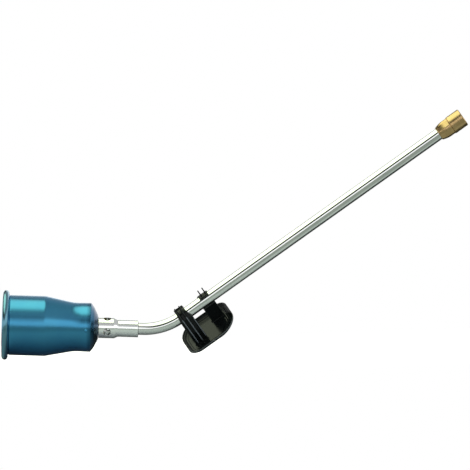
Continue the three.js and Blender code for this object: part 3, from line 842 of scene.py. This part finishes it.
def nipple():
    """The brass nipple on the tube's upper end: shoulder, ring groove and rounded sealing nose."""
    nose, groove, bore = 6.2, 4.9, 3.6
    inner = TUBE_RADIUS + 0.15
    profile = rounded([
        (NIPPLE_START, inner, 0.1),
        (NIPPLE_START, NIPPLE_RADIUS, 0.3),
        (NIPPLE_START + 7.2, NIPPLE_RADIUS, 0.4),
        (NIPPLE_START + 8.2, nose, 0.4),
        (RING_START - 0.25, nose, 0.15),
        (RING_START - 0.25, groove, 0.2),
        (RING_END + 0.25, groove, 0.2),
        (RING_END + 0.25, nose, 0.15),
        (NIPPLE_END - 2.6, nose, 1.2),
        (NIPPLE_END, nose - 1.6, 0.6),
        (NIPPLE_END, bore, 0.3),
        (TUBE_END + 0.3, bore, 0.2),
        (TUBE_END + 0.3, inner, 0.1),
    ])
    made = turned("nipple", profile, NECK, 96)
    settle(made, "neck", "brass", "tube_nipple")


def nipple_ring():
    centre = (RING_START + RING_END) / 2
    section = (RING_END - RING_START) / 2
    middle = RING_RADIUS - section
    loop = [
        (centre + section * math.cos(a), middle + section * math.sin(a))
        for a in np.linspace(0, 2 * math.pi, 24, endpoint=False)
    ]
    made = turned("o_ring", loop, NECK, 96)
    settle(made, "neck", "black_rubber", "nipple_o_ring")


# ---- union nut ----

def nut_blank(along):
    """The nut's outside radius before its flats are cut: it swells from the rear end."""
    share = np.clip(along / NUT_TAPER_LENGTH, 0, 1)
    return NUT_REAR_RADIUS + (NUT_RADIUS - 0.1 - NUT_REAR_RADIUS) * np.sin(share * math.pi / 2) ** 0.9


def nut_outside():
    """From the rear end over the hexagon, the groove and the collar, and down the thread."""
    step = NUT_START + NUT_HEX_LENGTH
    hexagon = stations(0.35, NUT_HEX_LENGTH - 0.35, 0.3)
    bore = stations(NUT_END - 1, NUT_START + 5, 0.125)
    return [
        (NUT_START, NUT_REAR_RADIUS - 0.5),
        (NUT_START + 0.06, NUT_REAR_RADIUS - 0.15),
        *[(NUT_START + s, float(nut_blank(s))) for s in hexagon],
        *rounded(
            [
                (step - 0.3, NUT_RADIUS - 0.15, 0),
                (step - 0.1, NUT_RADIUS - 0.5, 0.1),
                (step + 0.15, NUT_RADIUS - 0.5, 0.1),
                (step + 0.6, NUT_RADIUS, 0.15),
                (NUT_END - 0.6, NUT_RADIUS, 0.2),
                (NUT_END, NUT_RADIUS - 0.55, 0.15),
                (NUT_END, NUT_THREAD_BORE + 0.7, 0.2),
                (NUT_END - 0.8, NUT_THREAD_BORE, 0),
            ],
            closed=False,
        ),
        *[(x, NUT_THREAD_BORE) for x in bore],
    ]


def nut_inside():
    """From the thread's end over the seat of the slip ring, back to the rear end."""
    return rounded(
        [
            (NUT_START + 5, NUT_THREAD_BORE + 0.01, 0),
            (NUT_START + 3.6, NUT_THREAD_BORE + 0.01, 0.3),
            (NUT_START + 3.6, NUT_SLIP_BORE, 0.2),
            (NUT_START, NUT_SLIP_BORE, 0.3),
            (NUT_START, NUT_REAR_RADIUS - 0.5, 0),
        ],
        closed=False,
    )


def nut_shape(x, radius, angle):
    """Cuts six flats with softened corners into the hexagon, and the thread into the bore."""
    step = NUT_START + NUT_HEX_LENGTH
    corner = math.pi / 3
    turn = (angle - below_the_side(0) + corner / 2) % corner - corner / 2
    flat = NUT_FLAT_SHARE * radius / np.cos(corner / 2 - np.abs(turn))
    blend = 0.06
    cut = -blend * np.log(np.exp(-flat / blend) + np.exp(-radius / blend))
    in_hexagon = (x < step - 0.32) & (radius > NUT_SLIP_BORE + 0.4)
    thread = threads(NUT_THREAD_DEPTH, NUT_START + 5, NUT_END - 1)(x, radius, angle)
    radius = np.where(in_hexagon, cut, radius)
    return np.where(radius == NUT_THREAD_BORE, thread, radius)


def union_nut():
    made = turned("nut", [*nut_outside(), *nut_inside()[1:-1]], NECK, 288, nut_shape)
    settle(made, "nut", "brass", "union_nut")


# ---- stand ----

def dish_outline():
    """Rounded rectangle whose opposite corners match, as points on the rim."""
    x, y = DISH_LENGTH / 2, DISH_WIDTH / 2
    corners = [
        (x - SOFT_CORNER, -y + SOFT_CORNER, SOFT_CORNER, -0.5),
        (x - SHARP_CORNER, y - SHARP_CORNER, SHARP_CORNER, 0),
        (-x + SOFT_CORNER, y - SOFT_CORNER, SOFT_CORNER, 0.5),
        (-x + SHARP_CORNER, -y + SHARP_CORNER, SHARP_CORNER, 1),
    ]
    points = []
    for centre_x, centre_y, radius, first in corners:
        for turn in np.linspace(first, first + 0.5, 24) * math.pi:
            points.append((centre_x + radius * math.cos(turn), centre_y + radius * math.sin(turn)))
    return np.array(points)


def dish():
    """A shallow dish: flat foot, walls that curve up to a rolled lip, and moulded ridges
    round the inside of the walls."""
    outline = dish_outline()
    count = len(outline)
    foot, lip = 0.66, 0.97
    floor_top = DISH_WALL - DISH_DEPTH

    def wall_rise(share):
        s = np.clip((share - foot) / (1 - foot), 0, 1)
        return s ** 2.4

    rings = []
    for share in np.linspace(0.04, 1, 40):
        rings.append((share, -DISH_DEPTH + (DISH_DEPTH - 1.4) * wall_rise(share)))
    rings += [(1.004, -0.9), (1.0, -0.3), (0.985, 0.0)]
    for share in np.linspace(lip, 0.04, 60):
        wave = math.sin((share - foot) / (lip - foot) * 2 * DISH_RIDGES * math.pi)
        ridge = DISH_RIDGE_HEIGHT * max(0.0, wave) if share > foot else 0
        rings.append((share, floor_top + (DISH_DEPTH - DISH_WALL - 0.4) * wall_rise(share / lip) + ridge))
    points = [
        (x * min(share, 1) + DISH_OFFSET, y * min(share, 1), z - DISH_RIM)
        for share, z in rings for x, y in outline
    ]
    points += [(DISH_OFFSET, 0, z - DISH_RIM) for z in (-DISH_DEPTH, floor_top)]
    faces = []
    for row in range(len(rings) - 1):
        faces += quads(row * count, (row + 1) * count, count)
    last, centre = (len(rings) - 1) * count, len(rings) * count
    faces += [(centre, i, (i + 1) % count) for i in range(count)]
    faces += [(centre + 1, last + i, last + (i + 1) % count) for i in range(count)]
    return mesh_object("dish", points, faces, STAND)


def prism(outline, start, end, spin=0.0):
    """An outline in the stand's YZ plane, extruded along its X axis and turned about its Z axis."""
    near, far = ([(x, y, z) for y, z in outline] for x in (start, end))
    return extruded("prism", near, far, STAND @ Matrix.Rotation(spin, 4, "Z"))


def arc(radius, first, last, steps=16):
    return [(radius * math.cos(a), radius * math.sin(a)) for a in np.linspace(first, last, steps)]


def arm_outline():
    """One arm: up from the dish beside the tube, over its top, with a lip that flares outwards."""
    end = math.radians(57)
    return [
        (-ARM_INNER, ARM_FOOT),
        (-ARM_INNER, -4),
        *arc(HOOK_BORE, math.pi, end),
        *arc(HOOK_LIP, end - 0.1, end + 0.08, 2),
        *arc(HOOK_BORE + HOOK_WALL, end + 0.25, 0.75 * math.pi, 12),
        (-ARM_OUTER, 1),
        (-ARM_OUTER, ARM_FOOT),
    ]


def rib_outline():
    """One rib: a fin on the arm's outside that runs on over the hook and ends in a tip."""
    return [
        (-ARM_OUTER + 0.8, ARM_FOOT),
        (-ARM_OUTER + 0.8, 1),
        (-5, 5.6),
        (0.6, 7),
        (0.2, 12.8),
        (-1.2, FIN_TIP),
        (-2.6, 13.2),
        (-6.5, 10),
        (-10.2, 6),
        (-RIB_OUTER, 0),
        (-RIB_OUTER, ARM_FOOT),
    ]


def edge_rib_outline():
    """A lower rib along the arm's inner edge that stops beside the tube."""
    return [
        (-ARM_OUTER + 0.5, ARM_FOOT),
        (-ARM_OUTER + 0.5, 0.5),
        (-ARM_OUTER, 0.5),
        (-EDGE_RIB_OUTER, -2.5),
        (-EDGE_RIB_OUTER, ARM_FOOT),
    ]


def upright(spin):
    """The arm itself, with the hook's corners taken off on a slant."""
    end = -ARM_START - ARM_LENGTH
    made = prism(arm_outline(), end, -ARM_START, spin)
    gate = [
        (end, ARM_FOOT),
        (end, 0),
        (end + 1.5, 9),
        (-ARM_START - 3.4, 9),
        (-ARM_START, -1),
        (-ARM_START, ARM_FOOT),
    ]
    near, far = ([(x, y, z) for x, z in gate] for y in (-GATE_REACH, GATE_REACH))
    boolean(made, "INTERSECT", [extruded("gate", near, far, STAND @ Matrix.Rotation(spin, 4, "Z"))])
    return made


def saddle(spin):
    """A thin cradle under the tube, round from the arm to just past the tube's middle."""
    first, last = SADDLE_ANGLES
    outline = [*arc(HOOK_BORE - 0.3, first, last), *arc(HOOK_BORE + SADDLE_WALL, last, first)]
    return prism(outline, -ARM_START - ARM_LENGTH, -ARM_START, spin)


def arm(spin):
    pieces = [upright(spin), saddle(spin)]
    pieces.append(prism(edge_rib_outline(), -ARM_START - RIB_THICKNESS, -ARM_START, spin))
    for station in RIB_STATIONS:
        half = RIB_THICKNESS / 2
        pieces.append(prism(rib_outline(), -station - half, -station + half, spin))
    return pieces


def fuse(pieces, name):
    """Joins closed pieces into one object, without merging their surfaces yet."""
    whole = bmesh.new()
    to_stand = STAND.inverted()
    for piece in pieces:
        part = piece.data.copy()
        part.transform(to_stand @ piece.matrix_world)
        whole.from_mesh(part)
        bpy.data.objects.remove(piece)
    mesh = bpy.data.meshes.new(name)
    whole.to_mesh(mesh)
    whole.free()
    made = bpy.data.objects.new(name, mesh)
    made.matrix_world = STAND
    bpy.context.scene.collection.objects.link(made)
    return made


def root_weights(piece):
    """A vertex group round the arms' roots, where the moulding has wide fillets."""
    points = np.array([v.co for v in piece.data.vertices]) / MM
    floor = -DISH_RIM - DISH_DEPTH + DISH_WALL
    height = np.clip(1 - np.abs(points[:, 2] - floor - 0.8) / 3.0, 0, 1)
    across = np.clip(1 - np.abs(np.abs(points[:, 1]) - 9.5) / 7, 0, 1)
    weight = height * np.clip(2 * across, 0, 1)
    group = piece.vertex_groups.new(name="roots")
    for index in np.nonzero(weight > 0.02)[0]:
        group.add([int(index)], float(weight[index]), "REPLACE")


def remesh(piece):
    """One skin of small even faces over everything that the piece holds."""
    way = piece.modifiers.new("remesh", "REMESH")
    way.mode = "VOXEL"
    way.voxel_size = STAND_VOXEL * MM
    bake_modifiers(piece)


def stand():
    """The moulding: dish and arms under one skin, bored for the tube, with soft fillets."""
    made = fuse([dish(), *arm(0), *arm(math.pi)], "clip_stand")
    remesh(made)
    drill(made, [rod(-40, 40, HOOK_BORE, STAND, 96)])
    remesh(made)
    root_weights(made)
    fillet = made.modifiers.new("fillet", "SMOOTH")
    fillet.vertex_group = "roots"
    fillet.iterations = 30
    soften = made.modifiers.new("soften", "SMOOTH")
    soften.factor = 0.5
    soften.iterations = 3
    bake_modifiers(made)
    made.data.shade_smooth()
    settle(made, "foot_stand", "black_plastic", "stand")


# ---- carried-over CAD nodes ----

def dress_cad_nodes():
    """Every CAD node that still shows gets the material of its own slot."""
    for name, node in frame["nodes"].items():
        keep_place(node.data, BURNER)
        node.data.materials.clear()
        node.data.materials.append(MATERIALS[slot_of(name)])
        node.data.shade_smooth()
        node.data.set_sharp_from_angle(angle=math.radians(40))


# ---- studio ----

# Where from front to back of the floor, from 0 to 1, and its colour in reflections.
FLOOR_SHADES = (
    (0.0, (0.30, 0.32, 0.33)), (0.455, (0.32, 0.34, 0.36)), (0.475, (0.5, 0.53, 0.58)),
    (0.496, (0.46, 0.49, 0.54)), (0.507, (0.05, 0.055, 0.06)), (1.0, (0.05, 0.055, 0.06)),
)


FLOOR_RADIUS = 1.5
FLOOR_DROP = 0.0004  # so that the torch's lowest points don't share the floor's plane
FLOOR_TONE = 0.6
FLOOR_GLOW = 0.85


def split_by_camera(tree, output_type, seen, otherwise):
    """One shader for the camera's own rays and another for all the rest."""
    path = tree.nodes.new("ShaderNodeLightPath")
    choice = tree.nodes.new("ShaderNodeMixShader")
    output = tree.nodes.new(output_type)
    tree.links.new(path.outputs["Is Camera Ray"], choice.inputs[0])
    tree.links.new(otherwise, choice.inputs[1])
    tree.links.new(seen, choice.inputs[2])
    tree.links.new(choice.outputs[0], output.inputs["Surface"])


def floor_material():
    material = bpy.data.materials.new("floor")
    material.use_nodes = True
    tree = material.node_tree
    tree.nodes.clear()
    seen = tree.nodes.new("ShaderNodeBsdfDiffuse")
    seen.inputs["Color"].default_value = (FLOOR_TONE, FLOOR_TONE, FLOOR_TONE, 1)
    glow = tree.nodes.new("ShaderNodeEmission")
    glow.inputs["Strength"].default_value = FLOOR_GLOW
    bright = tree.nodes.new("ShaderNodeAddShader")
    dim = tree.nodes.new("ShaderNodeBsdfDiffuse")
    spot = tree.nodes.new("ShaderNodeTexCoord")
    split = tree.nodes.new("ShaderNodeSeparateXYZ")
    tree.links.new(spot.outputs["Generated"], split.inputs[0])
    shade, _ = ramp_of(tree, split.outputs["Y"], 0, 1, FLOOR_SHADES)
    tree.links.new(shade, dim.inputs["Color"])
    tree.links.new(seen.outputs[0], bright.inputs[0])
    tree.links.new(glow.outputs[0], bright.inputs[1])
    split_by_camera(tree, "ShaderNodeOutputMaterial", bright.outputs[0], dim.outputs[0])
    return material


def studio_floor():
    """A pale floor that looks white, and in reflections is grey, darker behind the torch."""
    work = bmesh.new()
    bmesh.ops.create_circle(work, cap_ends=True, radius=FLOOR_RADIUS, segments=96)
    mesh = bpy.data.meshes.new("floor")
    work.to_mesh(mesh)
    work.free()
    mesh.materials.append(floor_material())
    floor = bpy.data.objects.new("floor", mesh)
    floor.location.z = -FLOOR_DROP
    bpy.context.scene.collection.objects.link(floor)


# Elevation in degrees and the brightness of the studio there, without its softbox.
STUDIO_BANDS = ((-90, 0.1), (-12, 0.1), (-3, 0.22), (0, 1.3), (22, 1.5), (30, 0.55), (90, 0.55))

# The softbox hangs overhead and to the left. Its edge is where height less SOFTBOX_LEAN times
# the way right reaches a level, and there is a dark gap before it: level, and tinted gain there.
SOFTBOX_LEAN = 0.66
SOFTBOX_LEFT = -0.4
SOFTBOX_REACH = 1.3
SOFTBOX_GAINS = (
    (0.0, (1, 1, 1)), (0.72, (1, 1, 1)), (0.80, (0.5, 0.5, 0.5)), (0.84, (0.5, 0.5, 0.5)),
    (0.92, (4.2, 4.6, 3.4)), (1.3, (4.2, 4.6, 3.4)),
)

# A black flag stands under the softbox on the left: height, and its gain there.
FLAG_RIGHT = (-0.05, 0.02)
FLAG_GAINS = (
    (0.0, (1, 1, 1)), (0.26, (1, 1, 1)), (0.32, (0.02, 0.02, 0.02)), (0.60, (0.02, 0.02, 0.02)),
    (0.66, (1, 1, 1)), (1.0, (1, 1, 1)),
)


def ramp_of(tree, value, low, high, stops):
    """Colours at levels of a value between low and high. Returns the colour and the gain that it
    has been divided by to keep it within 1."""
    span = tree.nodes.new("ShaderNodeMapRange")
    span.inputs["From Min"].default_value = low
    span.inputs["From Max"].default_value = high
    node = tree.nodes.new("ShaderNodeValToRGB")
    ramp = node.color_ramp
    greatest = max(1, *(max(tone) for _, tone in stops))
    while len(ramp.elements) < len(stops):
        ramp.elements.new(0.5)
    for element, (level, tone) in zip(ramp.elements, stops):
        element.position = (level - low) / (high - low)
        element.color = (*[channel / greatest for channel in tone], 1)
    tree.links.new(value, span.inputs["Value"])
    tree.links.new(span.outputs["Result"], node.inputs["Fac"])
    return node.outputs["Color"], greatest


def colour_product(tree, first, second, share=None):
    node = tree.nodes.new("ShaderNodeMix")
    node.data_type = "RGBA"
    node.blend_type = "MULTIPLY"
    node.inputs[0].default_value = 1
    tree.links.new(first, node.inputs[6])
    tree.links.new(second, node.inputs[7])
    if share:
        tree.links.new(share, node.inputs[0])
    return node.outputs[2]


def math_node(tree, operation, *values):
    node = tree.nodes.new("ShaderNodeMath")
    node.operation = operation
    for socket, value in zip(node.inputs, values):
        if isinstance(value, (int, float)):
            socket.default_value = value
        else:
            tree.links.new(value, socket)
    return node.outputs[0]


def studio_light():
    """Soft light all round: a softbox overhead with a dark gap before it, a black flag on the left,
    and a bright band at eye level. The camera itself sees plain white behind the object."""
    world = bpy.data.worlds.new("studio")
    bpy.context.scene.world = world
    world.use_nodes = True
    tree = world.node_tree
    tree.nodes.clear()
    direction = tree.nodes.new("ShaderNodeTexCoord")
    split = tree.nodes.new("ShaderNodeSeparateXYZ")
    tree.links.new(direction.outputs["Generated"], split.inputs[0])
    height = split.outputs["Z"]
    rise = math_node(tree, "ARCSINE", height)
    bands = [(math.radians(elevation), (level,) * 3) for elevation, level in STUDIO_BANDS]
    level, band_gain = ramp_of(tree, rise, -math.pi / 2, math.pi / 2, bands)
    right = math_node(tree, "MAXIMUM", split.outputs["X"], SOFTBOX_LEFT)
    reached = math_node(tree, "MULTIPLY_ADD", right, -SOFTBOX_LEAN, height)
    gain, softbox_gain = ramp_of(tree, reached, 0, SOFTBOX_REACH, SOFTBOX_GAINS)
    flag, _ = ramp_of(tree, height, 0, 1, FLAG_GAINS)
    flagged = tree.nodes.new("ShaderNodeMapRange")
    flagged.inputs["From Min"].default_value = FLAG_RIGHT[1]
    flagged.inputs["From Max"].default_value = FLAG_RIGHT[0]
    tree.links.new(split.outputs["X"], flagged.inputs["Value"])
    shaded = colour_product(tree, level, flag, flagged.outputs["Result"])
    studio = tree.nodes.new("ShaderNodeBackground")
    studio.inputs["Strength"].default_value = band_gain * softbox_gain
    seen = tree.nodes.new("ShaderNodeBackground")
    seen.inputs["Color"].default_value = (1, 1, 1, 1)
    tree.links.new(colour_product(tree, shaded, gain), studio.inputs["Color"])
    split_by_camera(tree, "ShaderNodeOutputWorld", seen.outputs[0], studio.outputs[0])
    bpy.context.scene.view_settings.view_transform = "Standard"


# The view is square on to the plane of the bend, from far away, and rolled a little.
LENS = 800
SENSOR = 36
PICTURE_WIDTH = 0.470
ROLL = math.radians(2.02)
AIM = Vector((0.0005, -0.0015, 0.1166))


def camera():
    data = bpy.data.cameras.new("camera")
    data.lens = LENS
    data.sensor_width = SENSOR
    data.clip_end = 100
    distance = PICTURE_WIDTH * LENS / SENSOR
    made = bpy.data.objects.new("camera", data)
    right = Vector((math.cos(ROLL), 0, -math.sin(ROLL)))
    up = Vector((math.sin(ROLL), 0, math.cos(ROLL)))
    back = Vector((0, -1, 0))
    turn = Matrix((right, up, back)).transposed().to_4x4()
    made.matrix_world = Matrix.Translation(AIM + back * distance) @ turn
    bpy.context.scene.collection.objects.link(made)
    bpy.context.scene.camera = made


# ---- the whole ----

camera()
studio_floor()
studio_light()
dress_cad_nodes()
burner_cup()
for index, angle in enumerate(even_turns(RIVETS, below_the_side(RIVET_TURN)), 1):
    rivet(index, angle)
flame_holder()
mixing_tube()
burner_socket()
neck_tube()
neck_end_fitting()
nipple()
nipple_ring()
union_nut()
stand()
